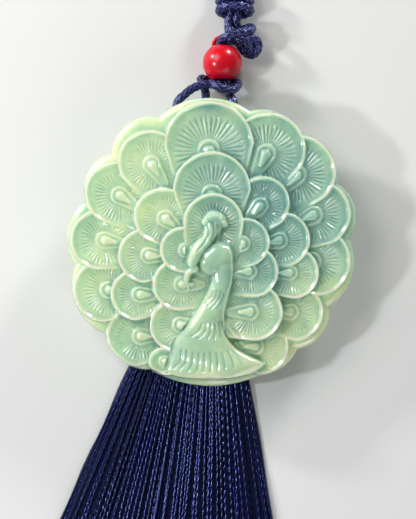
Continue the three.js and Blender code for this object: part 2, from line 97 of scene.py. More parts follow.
# The feathers: right, above and radius in hundredths of the plaque's radius. The last lies on top.
FEATHERS = {
    "outer": [
        (33, -73, 20), (57, -49, 20), (72, -14, 24), (73, 19, 23), (61, 48, 25), (39, 63, 26),
        (-74, -34, 22), (-77, 1, 21), (-66, 33, 22), (-43, 55, 22), (-2, 66, 31), (-52, -66, 21),
    ],
    "middle": [
        (-52, -37, 18), (-46, -10, 19), (-34, 17, 20), (56, -22, 18), (49, 1, 19), (35, 26, 19),
        (0, 35, 27),
    ],
    "inner": [
        (-34, -83, 10), (-24, -58, 19), (-23, -30, 18), (-20, -6, 16), (29, -49, 20),
        (28, -21, 18), (23, -1, 17), (1, 12, 21),
    ],
}

# The peacock in the same units. Its body: height, left edge, right edge.
BODY_STATIONS = [
    (-95, -8, 6), (-94, -22, 18), (-90, -32, 30), (-85, -32, 36), (-79, -30, 26), (-74, -28, 17),
    (-67, -25, 11), (-60, -20, 8), (-52, -14, 7), (-45, -9, 8), (-38, -5, 10), (-28, -1, 13),
    (-18, 0, 14), (-8, 0, 12),
]
# Rounded lobes of the bird: right, above, half width, top in millimetres
CREST_TIP = [(-3.6, 13.0, 3.6, 6.9), (-1.6, 15.8, 3.8, 7.1), (2, 16.8, 4.2, 7.2),
             (5.6, 15.4, 4.0, 7.1), (8.4, 11.8, 2.8, 6.7)]
CREST_STEM = [(1.4, 14, 7.4, 7.0), (0.8, 10, 6.8, 7.0), (-0.6, 6, 5.4, 7.0), (-3.4, 0.7, 4.8, 7.1),
              (-7.6, -3.6, 5.0, 7.3), (-11.6, -10, 4.8, 7.4), (-13.4, -14.5, 4.2, 7.3),
              (-13.2, -18, 2.8, 7.0)]
CREST_DOTS = [(-4.2, 14.0), (-1.8, 16.4), (1.0, 17.4), (3.8, 17.0), (6.4, 15.4), (8.4, 12.8)]
HEAD_LOBE = [(1.0, -14, 10.5, 7.1), (4.5, -11, 10.5, 7.1)]
NECK_LOBE = [(7, -18, 8.0, 7.0), (6.4, -30, 7.4, 6.9), (3, -42, 8.0, 6.8), (0, -50, 9.0, 6.8)]
BEAK_LOBE = [(-12, -19, 3.2, 6.9), (-16, -21.8, 2.7, 6.8), (-17.6, -27, 2.3, 6.6),
             (-16.2, -33, 1.0, 6.2)]
NECK_LINE = [(10.5, -1), (13.2, -9), (13.9, -19), (13, -29), (10, -39), (7.8, -50), (8.2, -62)]
BASE_LINE = [(-31, -92.5), (-14, -95), (4, -95.5), (20, -93.5), (33, -88), (36, -84.5)]

# Strokes cut into the bird: lines of points, right and above
CREST_STROKES = [
    [(-4.5, 12), (-2.5, 6), (-5, -1), (-10, -7)],
    [(0.5, 13), (1.5, 6), (-1, -1.5)],
    [(3.8, 11), (3.8, 5), (0.5, -1.5)],
]
NECK_STROKES = [
    [(1, -34), (-1, -39), (-5, -43)],
    [(3.5, -34), (1.5, -40), (-3, -44.5)],
    [(6, -34.5), (4, -41), (-0.5, -46)],
    [(8, -36), (6.5, -42), (3, -46.5)],
]
BREAST_STROKES = [
    [(-7, -57), (-9, -62), (-14, -65.5)],
    [(-3.5, -57), (-5, -63), (-9.5, -67)],
    [(-0.5, -57), (-1.2, -63), (-3, -67)],
    [(2, -57), (2.2, -63), (1.5, -67)],
    [(4.5, -56), (5.5, -62), (6, -66)],
    [(7, -57), (9, -63), (11, -67)],
    [(9.5, -60), (12.5, -66), (15.5, -70.5)],
]
SKIRT_STROKES = [
    [(-21, -75), (-21.5, -82), (-26, -87)],
    [(-17.5, -75.5), (-18, -83), (-22.5, -88.5)],
    [(-13, -76.5), (-13.5, -84), (-16, -89)],
    [(-9, -77), (-9, -84), (-10.5, -89.5)],
    [(-5, -77.5), (-5, -84.5), (-6, -89.5)],
    [(-1, -77.5), (-0.5, -84.5), (-1, -89.5)],
    [(3, -77.5), (4, -84), (4, -89)],
    [(7, -77), (8.5, -83), (9, -88)],
    [(11, -76), (13.5, -81), (15, -86.5)],
    [(15, -75.5), (18.5, -80), (21, -84.5)],
]
WING_STROKES = [
    [(8.5, -62), (12, -68), (17, -74)],
    [(11, -61), (15, -66.5), (20, -73)],
    [(15, -60), (19, -65), (23, -70)],
]


def smooth_line(points, step):
    """Points about a step apart on a centripetal spline through the given points."""
    p = np.array(points, float)
    q = np.vstack([2 * p[0] - p[1], p, 2 * p[-1] - p[-2]])
    out = []
    for i in range(1, len(q) - 2):
        a, b, c, d = q[i - 1:i + 3]
        t0 = 0.0
        t1 = t0 + max(np.linalg.norm(b - a), 1e-6) ** 0.5
        t2 = t1 + max(np.linalg.norm(c - b), 1e-6) ** 0.5
        t3 = t2 + max(np.linalg.norm(d - c), 1e-6) ** 0.5
        count = max(2, int(math.ceil(np.linalg.norm(c - b) / step)))
        t = np.linspace(t1, t2, count, endpoint=False)[:, None]
        a1 = (t1 - t) / (t1 - t0) * a + (t - t0) / (t1 - t0) * b
        a2 = (t2 - t) / (t2 - t1) * b + (t - t1) / (t2 - t1) * c
        a3 = (t3 - t) / (t3 - t2) * c + (t - t2) / (t3 - t2) * d
        b1 = (t2 - t) / (t2 - t0) * a1 + (t - t0) / (t2 - t0) * a2
        b2 = (t3 - t) / (t3 - t1) * a2 + (t - t1) / (t3 - t1) * a3
        out.append((t2 - t) / (t2 - t1) * b1 + (t - t1) / (t2 - t1) * b2)
    out.append(p[-1:])
    return np.vstack(out)


def even_line(points, step):
    """The same line with evenly spaced points."""
    line = smooth_line(points, step / 2)
    lengths = np.concatenate([[0], np.cumsum(np.linalg.norm(np.diff(line, axis=0), axis=1))])
    count = max(3, int(round(lengths[-1] / step)) + 1)
    at = np.linspace(0, lengths[-1], count)
    return np.column_stack([np.interp(at, lengths, line[:, k]) for k in range(line.shape[1])])


def moving_frames(line):
    """Two directions across the line at each of its points, turning as little as they can."""
    tangent = np.gradient(line, axis=0)
    tangent /= np.linalg.norm(tangent, axis=1)[:, None]
    across = np.empty_like(line)
    start = np.cross(tangent[0], [0, 0, 1])
    if np.linalg.norm(start) < 0.1:
        start = np.cross(tangent[0], [0, 1, 0])
    across[0] = start / np.linalg.norm(start)
    for i in range(1, len(line)):
        v = across[i - 1] - tangent[i] * np.dot(across[i - 1], tangent[i])
        across[i] = v / np.linalg.norm(v)
    return across, np.cross(tangent, across)


class Shape:
    """Vertices, faces and values per vertex that are joined up into one mesh."""

    def __init__(self):
        self.vertices = []
        self.faces = []
        self.values = {}
        self.count = 0

    def add(self, vertices, faces, **values):
        self.vertices.append(np.asarray(vertices, float))
        self.faces.extend([tuple(i + self.count for i in f) for f in faces])
        for key, value in values.items():
            self.values.setdefault(key, []).append(np.broadcast_to(value, len(vertices)))
        self.count += len(vertices)

    def build(self, name, material, sharp_angle=None):
        points = (np.vstack(self.vertices) + SHIFT) * MM
        mesh = bpy.data.meshes.new(name)
        mesh.from_pydata(points.tolist(), [], self.faces)
        for key, parts in self.values.items():
            data = np.concatenate(parts).astype(np.float32)
            mesh.attributes.new(key, "FLOAT", "POINT").data.foreach_set("value", data)
        mesh.validate()
        mesh.shade_smooth()
        if sharp_angle is not None:
            mesh.set_sharp_from_angle(angle=math.radians(sharp_angle))
        mesh.materials.append(material)
        made = bpy.data.objects.new(name, mesh)
        bpy.context.scene.collection.objects.link(made)
        return made


def grid_faces(rows, columns, closed_rows=False, closed_columns=False):
    """Quads of a grid of points, facing along the row direction crossed with the column direction."""
    faces = []
    for i in range(rows if closed_rows else rows - 1):
        m = (i + 1) % rows
        for j in range(columns if closed_columns else columns - 1):
            k = (j + 1) % columns
            faces.append((i * columns + j, m * columns + j, m * columns + k, i * columns + k))
    return faces


def end_faces(rows, sides):
    """The first and the last ring of a grid whose columns close, each as one flat face."""
    return [tuple(range(sides)), tuple(reversed(range((rows - 1) * sides, rows * sides)))]


def tube_points(line, radii):
    """Rings of points round a line. radii is an array: a radius for each point and angle."""
    across, up = moving_frames(line)
    sides = radii.shape[1]
    angle = np.linspace(0, 2 * math.pi, sides, endpoint=False)
    ring = (across[:, None, :] * np.cos(angle)[None, :, None]
            + up[:, None, :] * np.sin(angle)[None, :, None])
    return line[:, None, :] + ring * radii[:, :, None]


# How far a tube's domed end stands out, as a share of its radius
DOME = 0.4


def dome_tip(end, before, radius):
    """The middle of a tube's domed end."""
    return end + (end - before) / np.linalg.norm(end - before) * radius * DOME


def add_tube(shape, line, radii, **values):
    """Adds a tube with domed ends."""
    rings = tube_points(line, radii)
    rows, sides = radii.shape
    flat = rings.reshape(-1, 3)
    faces = [f[::-1] for f in grid_faces(rows, sides, closed_columns=True)]
    start = dome_tip(line[0], line[1], radii[0].mean())
    end = dome_tip(line[-1], line[-2], radii[-1].mean())
    points = np.vstack([flat, start, end])
    first, last = rows * sides, rows * sides + 1
    last_ring = (rows - 1) * sides
    for j in range(sides):
        k = (j + 1) % sides
        faces.append((first, k, j))
        faces.append((last, last_ring + j, last_ring + k))
    given = {key: np.concatenate([np.ravel(v), [np.ravel(v)[0], np.ravel(v)[-1]]])
             if np.ndim(v) else v for key, v in values.items()}
    shape.add(points, faces, **given)


def distance_to_line(x, y, points):
    """Distance from each point of the plane to a polyline, and what else its nearest place holds."""
    best = np.full(x.shape, 1e9)
    value = np.zeros(x.shape + (len(points[0]) - 2,)) if len(points[0]) > 2 else None
    for a, b in zip(points[:-1], points[1:]):
        ax, ay, bx, by = a[0], a[1], b[0], b[1]
        length = (bx - ax) ** 2 + (by - ay) ** 2
        t = np.clip(((x - ax) * (bx - ax) + (y - ay) * (by - ay)) / length, 0, 1)
        d = np.hypot(x - ax - t * (bx - ax), y - ay - t * (by - ay))
        nearer = d < best
        best = np.where(nearer, d, best)
        if value is not None:
            mix = np.array(a[2:]) + (np.array(b[2:]) - np.array(a[2:])) * t[..., None]
            value = np.where(nearer[..., None], mix, value)
    return best, value


def fall(x, low, high):
    """1 below low, 0 above high, smooth between."""
    t = np.clip((x - low) / (high - low), 0, 1)
    return 1 - t * t * (3 - 2 * t)


# The jade plaque

def scallop_circles():
    """Centre and radius of each arc of the plaque's edge."""
    circles = []
    for bearing, radius, tip in EDGE_SCALLOPS:
        a = math.radians(bearing)
        reach = (tip - radius) * SHARE
        circles.append((reach * math.sin(a), reach * math.cos(a), radius * SHARE))
    return circles


def outline_radius(angle):
    """The plaque's radius in each direction: the farthest of its scallops."""
    best = np.zeros_like(angle)
    for cx, cy, r in scallop_circles():
        along = cx * np.cos(angle) + cy * np.sin(angle)
        inside = r * r - cx * cx - cy * cy + along * along
        best = np.maximum(best, np.where(inside > 0, along + np.sqrt(np.maximum(inside, 0)), 0))
    return best


# A feather's border: how wide it is outside and inside its crest, and how far its edge drops
RIM_OUTER = 0.18
RIM_INNER = 0.6
RIM_DROP = 0.5
# How much the dish rises towards the border
BOWL_DEPTH = 0.2
RAYS = 38
RAY_DEPTH = 0.38
# Where the rays start beside the eye, and shares of the feather's radius between which they fade
# outwards and towards the bird
RAY_START = 1.12
RAY_START_WIDTH = 0.15
RAY_FADE = (0.68, 0.84)
RAY_FADE_AHEAD = (0.4, 1.3)
# How far a feather has narrowed by the time it reaches the bird
NARROWING = {"outer": 0.7, "middle": 0.6, "inner": 0.15}
# Where the feathers meet under the bird, in hundredths of the plaque's radius
FEATHER_ROOT = -12
# The border gets lower towards the bird: its least height as a share, and the shares of the
# feather's radius over which it drops
LEAST_STRENGTH = 0.25
WEAK_FROM = (0.0, 0.8)
# Millimetres from the edge between which the border's painted glow fades: light through the thin border,
# lighter and yellower than the dish
BORDER_GLOW_FADE = (0.1, 0.9)
# The eye: its least half width, what the feather's radius adds, its place as a share of that radius,
# and its length and how far it narrows as shares of its half width
LEAST_EYE = 0.6
EYE_SHARE = 0.2
EYE_PLACE = 0.12
EYE_LENGTH = 2.3
EYE_POINT = 0.5
EYE_RISE = 0.34
# Height, place and width of the ridge along the eye's edge and of the groove round it
EYE_RIDGE = (0.16, 0.84, 0.1)
EYE_GROOVE = (0.1, 1.08, 0.06)
# The drop in the eye, as shares of the eye's half width, with its rise and the groove round it
DROP_PLACE = 0.1
DROP_WIDTH = 0.52
DROP_LENGTH = 1.1
DROP_POINT = 0.6
DROP_RISE = 0.5
DROP_GROOVE = (0.14, 1.15, 0.15)


def ridge(value, height, place, width):
    """A rounded ridge that is highest where the value is at its place."""
    return height * np.exp(-((value - place) / width) ** 2)


def bulge(share, power):
    """1 in the middle and 0 at the edge of a rounded form."""
    return np.sqrt(np.clip(1 - share ** power, 0, 1))


def towards(dx, dy, aim):
    """Places along a direction and to its side."""
    return dx * math.cos(aim) + dy * math.sin(aim), -dx * math.sin(aim) + dy * math.cos(aim)


def hairpin(along, side, radius, length, point):
    """0 in the middle and 1 at the edge of a round end that is drawn out and narrows."""
    width = radius * (1 - point * np.clip(along / length, 0, 1))
    back = np.where(along < 0, along, np.maximum(along - length, 0))
    return np.hypot(back, side) / width


def lay_feather(x, y, height, warm, feather, ring):
    """Lays one feather over the relief: a rounded rim, a dish, rays and a raised eye."""
    fx, fy, fr = (v * SHARE for v in feather)
    top = RING_HEIGHTS[ring]
    bird_y = min(FEATHER_ROOT * SHARE, fy)
    aim = math.atan2(bird_y - fy, -fx)
    along, side = towards(x - fx, y - fy, aim)
    length = math.hypot(fx, bird_y - fy)
    width = fr * (1 - NARROWING[ring] * np.clip(along / length, 0, 1))
    d = width - np.hypot(np.minimum(along, 0), side)
    inside = (d > 0) & (along < length)
    d, along = d[inside], along[inside]
    strength = LEAST_STRENGTH + (1 - LEAST_STRENGTH) * fall(along / fr, *WEAK_FROM)
    floor = top - DISH_DEPTH
    crest = floor + DISH_DEPTH * strength
    outer = np.clip(1 - d / RIM_OUTER, 0, 1)
    rim = crest - RIM_DROP * (1 - np.sqrt(1 - outer ** 2))
    inner = fall(d, RIM_OUTER, RIM_OUTER + RIM_INNER)
    bowl = BOWL_DEPTH * np.clip(1 - d / fr, 0, 1) ** 2
    h = np.where(d < RIM_OUTER, rim, floor + bowl + (crest - floor - bowl) * inner)
    # the eye, drawn out towards the bird, with a small drop in it
    eye = LEAST_EYE + EYE_SHARE * fr
    ex = fx + EYE_PLACE * fr * math.cos(aim)
    ey = fy + EYE_PLACE * fr * math.sin(aim)
    px, py = x[inside] - ex, y[inside] - ey
    ahead, beside = towards(px, py, aim)
    around = hairpin(ahead, beside, eye, EYE_LENGTH * eye, EYE_POINT)
    drop = hairpin(ahead - DROP_PLACE * eye, beside, DROP_WIDTH * eye, DROP_LENGTH * eye, DROP_POINT)
    rise = EYE_RISE * bulge(around, 4) + ridge(around, *EYE_RIDGE)
    rise = rise + DROP_RISE * bulge(drop, 2) - ridge(drop, *DROP_GROOVE)
    ray = np.abs(np.mod(np.arctan2(py, px) * RAYS / (2 * math.pi), 1) - 0.5) * 2
    groove = np.clip((ray - 0.5) / 0.5, 0, 1)
    far = np.hypot(px, py) / fr
    spread = np.clip((around - RAY_START) / RAY_START_WIDTH, 0, 1)
    spread = spread * fall(far, *RAY_FADE) * fall(along / fr, *RAY_FADE_AHEAD)
    h = h - RAY_DEPTH * groove * spread
    h = np.where(around < 1, np.maximum(h, floor + rise), h - ridge(around, *EYE_GROOVE))
    height[inside] = h
    # Painted glow of light through the thin border, fading into the darker dish
    warm[inside] = fall(d, *BORDER_GLOW_FADE) * strength


LOBE_STEP = 0.3
STROKE_STEP = 0.8
# How far from its line a stroke is worked out, in widths
STROKE_REACH = 3


def lobe(x, y, height, points, base, roundness=2.0):
    """Raises a rounded lobe along a line over the relief and returns where it shows."""
    route = [(p[0] * SHARE, p[1] * SHARE, p[2] * SHARE, p[3]) for p in points]
    line = smooth_line(route, LOBE_STEP)
    d, value = distance_to_line(x, y, line)
    share = np.clip(d / value[..., 0], 0, 1)
    lifted = base + (value[..., 1] - base) * np.sqrt(1 - share ** roundness)
    shown = (share < 1) & (lifted > height)
    height[shown] = lifted[shown]
    return shown


def cut_stroke(x, y, height, points, width, depth):
    """Cuts a soft groove along a line, or raises a ridge where the depth is negative."""
    line = smooth_line([(px * SHARE, py * SHARE) for px, py in points], STROKE_STEP)
    low, high = line.min(0) - STROKE_REACH * width, line.max(0) + STROKE_REACH * width
    near = (x > low[0]) & (x < high[0]) & (y > low[1]) & (y < high[1])
    d, _ = distance_to_line(x[near], y[near], line)
    height[near] -= ridge(d, depth, 0, width)


def body_edges(y):
    """Left and right edge of the bird's body at each height."""
    stations = np.array(BODY_STATIONS, float) * SHARE
    fine = smooth_line(stations, LOBE_STEP)
    fine = fine[np.argsort(fine[:, 0])]
    return np.interp(y, fine[:, 0], fine[:, 1]), np.interp(y, fine[:, 0], fine[:, 2])


BIRD_FOOT = 5.0
# The bird's value on the painted glow: below nought, it darkens the bird against the painted edge light
# on its raised form
BIRD_GLOW = -0.5
BODY_ROUNDNESS = 2.4
# The bird's lobes with the height of their foot and their roundness, the strokes cut into it and the
# lines raised on it with their width and depth
LOBES = [
    (NECK_LOBE, 5.2, 2), (HEAD_LOBE, 5.2, 2.8), (CREST_STEM, 5.4, 2.4), (CREST_TIP, 5.4, 2),
    (BEAK_LOBE, 5.2, 2),
]
CREST_DOT_RADIUS = 1.1
CREST_DOT_LENGTH = 0.1
CREST_DOT_TOP = 7.35
CREST_DOT_FOOT = 6.6
STROKES = [
    (CREST_STROKES, 0.2, 0.3), (NECK_STROKES, 0.18, 0.22), (BREAST_STROKES, 0.18, 0.22),
    (SKIRT_STROKES, 0.22, 0.22), (WING_STROKES, 0.22, 0.3), ([NECK_LINE], 0.2, -0.4),
    ([BASE_LINE], 0.28, -0.3),
]
# How wide the edge's bevel is, and the painted glow of light through the stone on the band inside it,
# rising to full glow at the edge
BEVEL_WIDTH = BAND_BEVEL * 1.2
BAND_GLOW = 0.75
# The plaque's outermost strip and how far the feathers may stand over it
EDGE_STRIP = 0.35
EDGE_STAND = 0.6


def relief(x, y):
    """Height of the carved face and its painted glow at each point: light through thin borders and edges,
    lighter and yellower there.
    """
    inset = np.full(x.shape, -1e9)
    for cx, cy, r in scallop_circles():
        inset = np.maximum(inset, r - np.hypot(x - cx, y - cy))
    shoulder = np.clip(1 - inset / BEVEL_WIDTH, 0, 1)
    height = BAND_HEIGHT - BAND_BEVEL * (1 - np.sqrt(1 - shoulder ** 2))
    # Painted glow of light through the stone, strongest over the outer bevel
    warm = BAND_GLOW + (1 - BAND_GLOW) * shoulder
    edge_height = height.copy()
    for ring in ("outer", "middle", "inner"):
        for feather in FEATHERS[ring]:
            lay_feather(x, y, height, warm, feather, ring)
    # the body of the bird
    low, high = BODY_STATIONS[0][0] * SHARE, BODY_STATIONS[-1][0] * SHARE
    left, right = body_edges(y)
    across = (2 * x - left - right) / np.maximum(right - left, 0.1)
    inside = (y > low) & (y < high) & (np.abs(across) < 1)
    rounding = (1 - np.abs(across[inside]) ** BODY_ROUNDNESS) ** 0.5
    lifted = BIRD_FOOT + (BODY_HEIGHT - BIRD_FOOT) * rounding
    height[inside] = np.maximum(lifted, np.minimum(height[inside], BIRD_FOOT))
    bird = inside
    for points, foot, roundness in LOBES:
        bird = bird | lobe(x, y, height, points, foot, roundness)
    size = (CREST_DOT_RADIUS, CREST_DOT_TOP)
    for dot_x, dot_y in CREST_DOTS:
        dot = [(dot_x, dot_y, *size), (dot_x, dot_y + CREST_DOT_LENGTH, *size)]
        lobe(x, y, height, dot, CREST_DOT_FOOT)
    for strokes, width, depth in STROKES:
        for points in strokes:
            cut_stroke(x, y, height, points, width, depth)
    # The bird's value on the painted glow darkens it, against the painted edge light on its raised form
    warm[bird] = BIRD_GLOW
    height = np.where(inset < EDGE_STRIP, np.minimum(height, edge_height + EDGE_STAND), height)
    return height, warm


PLAQUE_GRID = 560
PLAQUE_TRIANGLES = 182000
SHARP_ANGLE = 60
# How strongly edges that stand over their surroundings get painted light and hollows painted shade, and
# how far those reach
EDGE_GAIN = 4.5
EDGE_BLUR = 24
# Painted shade where the cord's channel and the dark cord in it show through the stone: right, above,
# half width, half height
CHANNEL_SPOT = (-0.5, 92.5, 6.0, 2.6)
CHANNEL_SHADE = 1.3
# The side wall down to the back: inset and height. Then rings of the back, as shares of its size.
WALL = [(0.0, 2.0), (0.0, 0.9), (0.12, 0.4), (0.5, 0.0)]
BACK_RINGS = (0.96, 0.9, 0.8)
# Painted glow of light through the stone on the side wall and the back
WALL_GLOW = 0.8


def tip_back(points):
    """Moves points from the plaque's own frame to where it leans."""
    turn = np.array(Matrix.Rotation(TILT, 3, "X"))
    return points @ turn.T + np.array([0, 0, BACK_HEIGHT])


def soften(values):
    """Rounds the relief's steps by a light blur over the grid."""
    padded = np.pad(values, 1, mode="edge")
    rows = 0.25 * padded[:-2] + 0.5 * padded[1:-1] + 0.25 * padded[2:]
    return 0.25 * rows[:, :-2] + 0.5 * rows[:, 1:-1] + 0.25 * rows[:, 2:]


def disc_grid(n):
    """A square grid drawn out to the plaque's outline, so that it has no pole in its middle."""
    u, v = np.meshgrid(np.linspace(-1, 1, n), np.linspace(-1, 1, n))
    wide = np.abs(u) > np.abs(v)
    r = np.where(wide, u, v)
    with np.errstate(divide="ignore", invalid="ignore"):
        angle = np.where(wide, math.pi / 4 * v / u, math.pi / 2 - math.pi / 4 * u / v)
    angle = np.nan_to_num(angle)
    x, y = r * np.cos(angle), r * np.sin(angle)
    reach = outline_radius(np.arctan2(y, x))
    return x * reach, y * reach


def grid_border(n):
    """Numbers of a square grid's outermost points, in order."""
    forwards = range(n - 1)
    backwards = range(n - 1, 0, -1)
    last = n - 1
    return ([j for j in forwards] + [i * n + last for i in forwards]
            + [last * n + j for j in backwards] + [i * n for i in backwards])


def painted_edge_light_and_shade(x, y, height):
    """Painted light and shade: edges that stand up are lighter, like light through thin stone, hollows
    are darker with painted shade, and the cord's channel is darker with painted shade seen through the
    stone.
    """
    around = height
    for _ in range(EDGE_BLUR):
        around = soften(around)
    edge = np.clip((height - around) * EDGE_GAIN, -1, 1)
    # Painted shade of the channel and the dark cord in it, seen through the stone
    spot_x, spot_y, spot_wide, spot_tall = (v * SHARE for v in CHANNEL_SPOT)
    far = -((x - spot_x) / spot_wide) ** 2 - ((y - spot_y) / spot_tall) ** 2
    return edge - CHANNEL_SHADE * np.exp(far)


def jade_plaque(material):
    n = PLAQUE_GRID
    x, y = disc_grid(n)
    height, warm = relief(x, y)
    height = soften(soften(height))
    warm = soften(soften(warm))
    # Painted light on raised edges, painted shade in hollows and over the cord's channel
    edge = painted_edge_light_and_shade(x, y, height)
    top = np.column_stack([x.ravel(), y.ravel(), height.ravel()])
    previous = grid_border(n)
    around = len(previous)
    rim = top[previous]
    lengths = np.hypot(rim[:, 0], rim[:, 1])[:, None]
    rings = [np.column_stack([rim[:, :2] * (1 - inset / lengths), np.full(around, z)])
             for inset, z in WALL]
    rings += [np.column_stack([rings[-1][:, :2] * share, np.zeros(around)]) for share in BACK_RINGS]
    points = np.vstack([top] + rings + [[[0, 0, 0]]])
    faces = [(a, d, c, b) for a, b, c, d in grid_faces(n, n)]
    offset = n * n
    for _ in rings:
        ring = list(range(offset, offset + around))
        for k in range(around):
            m = (k + 1) % around
            faces.append((previous[m], previous[k], ring[k], ring[m]))
        previous = ring
        offset += around
    for k in range(around):
        faces.append((previous[(k + 1) % around], previous[k], offset))
    shape = Shape()
    beyond = len(points) - n * n
    # The painted glow and the painted edge light and shade go onto the mesh; the wall and back get the
    # wall's glow and no edge tone
    warmth = np.concatenate([warm.ravel(), np.full(beyond, WALL_GLOW)])
    edges = np.concatenate([edge.ravel(), np.zeros(beyond)])
    shape.add(tip_back(points), faces, warm=warmth, edge=edges)
    made = shape.build("jade_plaque_carved", material)
    fewer = made.modifiers.new("fewer", "DECIMATE")
    fewer.ratio = PLAQUE_TRIANGLES / (2 * n * n)
    apply_modifiers(made)
    made.data.set_sharp_from_angle(angle=math.radians(SHARP_ANGLE))
    return made


def apply_modifiers(made):
    graph = bpy.context.evaluated_depsgraph_get()
    mesh = bpy.data.meshes.new_from_object(made.evaluated_get(graph))
    made.modifiers.clear()
    made.data = mesh
    mesh.shade_smooth()


# Bead and ring

def lathe(profile, segments):
    """Rings of points about Y from [radius, place] pairs of a closed profile."""
    angle = np.linspace(0, 2 * math.pi, segments, endpoint=False)
    p = np.array(profile)
    x, z = p[:, :1] * np.cos(angle), p[:, :1] * np.sin(angle)
    return np.stack([x, np.repeat(p[:, 1:], segments, 1), z], -1).reshape(-1, 3)


BEAD_STEPS = 40
BEAD_SEGMENTS = 72
BEAD_SHARP_ANGLE = 40
# The hole's wall lies a little inside its edges
HOLE_NARROWER = 0.02
HOLE_SHORTER = 0.12
RING_STEPS = 64
RING_SIDES = 24


def red_bead(material):
    hole = CORD_DIAMETER + CORD_CLEARANCE
    opening = math.asin(hole / BEAD_RADIUS)
    angles = np.linspace(opening, math.pi - opening, BEAD_STEPS)
    profile = [(BEAD_RADIUS * math.sin(a), -BEAD_RADIUS * math.cos(a)) for a in angles]
    wall = hole - HOLE_NARROWER
    profile += [(wall, profile[-1][1] - HOLE_SHORTER), (wall, profile[0][1] + HOLE_SHORTER)]
    points = lathe(profile, BEAD_SEGMENTS)
    faces = grid_faces(len(profile), BEAD_SEGMENTS, closed_rows=True, closed_columns=True)
    shape = Shape()
    shape.add(points + np.array([*BEAD_PLACE, BEAD_RADIUS]), faces)
    return shape.build("red_bead_glass", material, BEAD_SHARP_ANGLE)


def red_ring(material):
    around = np.linspace(0, 2 * math.pi, RING_STEPS, endpoint=False)
    section = np.linspace(0, 2 * math.pi, RING_SIDES, endpoint=False)
    a, s = np.meshgrid(around, section, indexing="ij")
    r = RING_RADIUS + RING_WIRE / 2 * np.cos(s)
    points = np.stack([r * np.cos(a), r * np.sin(a), RING_WIRE / 2 * np.sin(s)], -1).reshape(-1, 3)
    turn = np.array(Matrix.Rotation(RING_TILT, 3, "X"))
    lift = RING_WIRE / 2 + RING_RADIUS * math.sin(RING_TILT)
    faces = grid_faces(RING_STEPS, RING_SIDES, closed_rows=True, closed_columns=True)
    shape = Shape()
    shape.add(points @ turn.T + np.array([*RING_PLACE, lift]), faces)
    return shape.build("red_ring_glass", material)


# Cords

BRAID_STEP = 0.11
BRAID_SIDES = 40
BRAID_STRANDS = 6
BRAID_STITCH = 1.15
# The braid's radius between strands as a share, and how much higher the strands stand
BRAID_VALLEY = 0.9
BRAID_RELIEF = 0.2
# The cord's way through the plaque's back: how far apart its ends are, how deep it goes, how far it
# lies below the plaque's top and how far it comes out of the back
CHANNEL_SPAN = 6.4
CHANNEL_RISE = 2.2
CHANNEL_FROM_TOP = 2.4
CHANNEL_RUN_OUT = 1.0
CHANNEL_STEPS = 13


def braid(line, radius):
    """Radii of a round braid, whose strands cross over and under each other, and its bumps, which the
    yarn's colour follows as painted shade between the strands and painted light on their tops.
    """
    step = np.linalg.norm(line[1] - line[0])
    along = np.arange(len(line))[:, None] * step / BRAID_STITCH
    around = np.linspace(0, BRAID_STRANDS, BRAID_SIDES, endpoint=False)[None, :]
    one, other = around + along, around - along
    over = (np.floor(one) + np.floor(other)) % 2 < 1
    one, other = np.sin(math.pi * (one % 1)), np.sin(math.pi * (other % 1))
    bump = np.where(over, one * (0.5 + 0.5 * other), other * (0.5 + 0.5 * one))
    return radius * (BRAID_VALLEY + BRAID_RELIEF * bump), 2 * bump - 1


def add_cord(shape, points, radius=CORD_DIAMETER / 2):
    """Adds a braided cord along a route and returns its middle line."""
    line = even_line(points, BRAID_STEP)
    radii, bump = braid(line, radius)
    # The bumps paint shade between the strands and light on their tops
    add_tube(shape, line, radii, bump=bump)
    return line


# Routes of the cord in millimetres from the middle of the plaque's top edge, down on the table
LOWER_LEFT = [
    (-3.2, -3.4, 6.1), (-5.0, -2.8, 5.6), (-6.4, -1.6, 5.7), (-6.1, -0.3, 5.9), (-5.0, 0.8, 5.8),
    (-3.6, 2.0, 5.4), (-1.7, 2.75, 5.1), (0.0, 2.9, 4.6), (1.2, 3.1, 3.9), (1.5, 4.4, 3.7),
    (1.25, 7.0, 3.7), (1.5, 9.8, 3.7), (1.65, 10.8, 4.1), (1.9, 11.25, 4.8), (2.6, 11.7, 5.3),
    (3.7, 12.15, 5.5), (5.15, 12.45, 5.3), (6.45, 12.7, 4.7), (7.3, 13.15, 3.8), (7.4, 13.8, 2.7),
    (6.7, 14.0, 1.7), (5.5, 13.6, 1.4), (4.7, 14.1, 2.0), (4.5, 15.3, 2.5), (4.9, 17.2, 2.5),
    (5.0, 22.4, 2.5),
]
LOWER_RIGHT = [
    (3.2, -3.4, 6.1), (4.0, -2.4, 5.2), (3.9, -0.4, 4.6), (3.2, 1.4, 3.9), (2.6, 3.4, 3.5),
    (2.65, 5.0, 3.5), (2.65, 7.0, 3.5), (2.65, 10.4, 3.45), (3.4, 11.4, 3.0), (5.0, 11.0, 2.3),
    (6.3, 9.3, 1.7), (7.4, 8.8, 2.1), (8.25, 9.3, 2.9), (8.6, 10.3, 3.6), (8.2, 11.2, 4.0),
    (7.2, 11.6, 4.2), (6.0, 11.3, 4.0), (4.7, 11.5, 3.4), (3.6, 12.1, 3.1), (3.1, 13.3, 2.9),
    (3.1, 15.0, 2.6), (3.5, 17.2, 2.5), (3.6, 22.4, 2.5),
]
INNER_TURN = [
    (5.6, 12.0, 4.4), (6.6, 11.2, 4.4), (7.1, 10.2, 3.6), (6.8, 9.3, 2.6), (5.9, 9.6, 1.9),
    (5.3, 10.6, 1.7),
]
RING_STRAND = [(1.68, 11.1, 0.12), (1.68, 11.1, 2.0), (1.7, 11.12, 3.6)]
